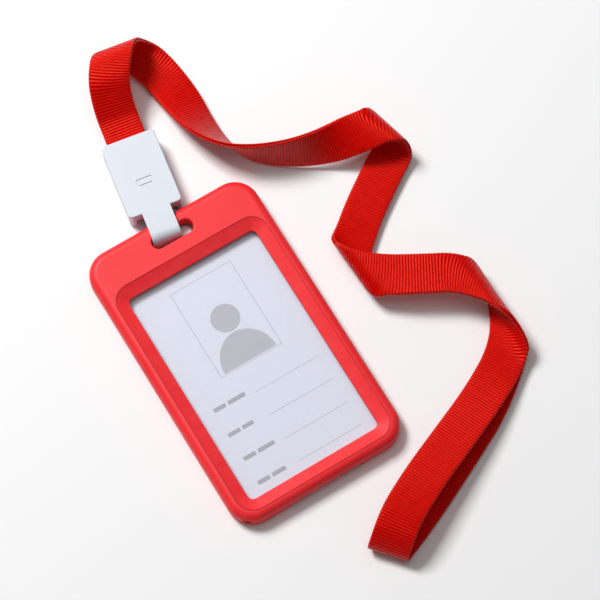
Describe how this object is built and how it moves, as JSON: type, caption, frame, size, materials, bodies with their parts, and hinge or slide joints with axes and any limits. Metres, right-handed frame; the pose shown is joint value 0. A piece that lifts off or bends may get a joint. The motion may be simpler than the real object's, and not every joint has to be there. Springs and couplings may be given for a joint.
{
  "type": "lanyard badge holder",
  "caption": "Red plastic card case with a clear window and sliding rear cover, hung by a white plastic hook buckle on a doubled red ribbon neck strap.",
  "frame": {"origin": "on the case's back face, under the middle of the window", "axes": "+Z out of the window, +Y from the window towards the hang slot and the buckle, +X to the right seen from the front"},
  "size_m": [0.119, 0.2073, 0.018],
  "materials": {
    "case_red": "fine matt moulded ABS, coral red",
    "clear_window": "clear moulded sheet",
    "card_print": "pale printed PVC card, grey figure and rule lines",
    "buckle_white": "satin white moulded plastic",
    "spring_steel": "bright spring steel",
    "ribbon_red": "ribbed woven polyester ribbon"
  },
  "bodies": {
    "buckle": {"buckle_front": "buckle_white", "buckle_rear": "buckle_white", "strap_clamp": "buckle_white", "gate_pin": "spring_steel", "neck_strap": "ribbon_red"},
    "case": {"front_frame": "case_red", "front_window": "clear_window"},
    "cover": {"rear_cover": "case_red", "id_card": "card_print"},
    "gate": {"gate_lever": "buckle_white", "gate_spring": "spring_steel"}
  },
  "joints": [
    {"name": "badge_swing", "type": "hinge", "parent": "buckle", "child": "case", "pos_m": [-0.00161, 0.05576, 0.0047], "axis": [-0.9869, 0.1616, 0], "range_deg": [-3, 11]},
    {"name": "cover_slide", "type": "slide", "parent": "case", "child": "cover", "axis": [0, -1, 0], "range_m": [0, 0.013]},
    {"name": "gate_pivot", "type": "hinge", "parent": "buckle", "child": "gate", "pos_m": [0.0001, 0.06622, 0.0026], "axis": [0.9869, -0.1616, 0], "range_deg": [0, 30], "stiffness_Nm_per_rad": 0.02, "springref_deg": -28.65}
  ]
}
